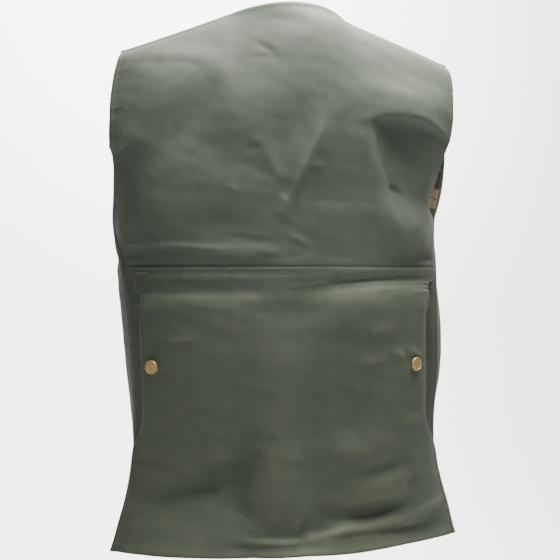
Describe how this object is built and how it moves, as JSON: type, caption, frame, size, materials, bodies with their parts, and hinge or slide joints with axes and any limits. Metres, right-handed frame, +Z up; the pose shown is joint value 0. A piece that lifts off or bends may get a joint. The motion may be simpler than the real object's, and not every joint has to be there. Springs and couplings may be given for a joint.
{
  "type": "hunting gilet",
  "caption": "Sleeveless olive cloth gilet, hollow as worn, with a wide game pocket over the lower back that is open at both sides, a lapped front and press studs.",
  "frame": {"origin": "between the two shoulders, on the middle line, a little below the neck points, where the wearer carries the garment", "axes": "+X to the wearer's right, +Y to the wearer's front, +Z up; the back is on the -Y side"},
  "size_m": [0.4688, 0.2352, 0.6892],
  "materials": {
    "shell": "dense olive cotton cloth, proofed, with a low sheen",
    "pocket_shell": "the same olive cloth, slightly darker",
    "lining": "woven check of brown and cream",
    "stud": "antique brass, low gloss"
  },
  "bodies": {
    "root": {"back": "shell", "game_pocket": "pocket_shell", "front_left": "shell", "front_right": "shell", "lining_left": "lining", "lining_right": "lining", "pocket_stud_left": "stud", "pocket_stud_right": "stud", "front_stud_1": "stud", "front_stud_2": "stud", "front_stud_3": "stud", "front_stud_4": "stud", "front_stud_5": "stud"}
  },
  "joints": []
}
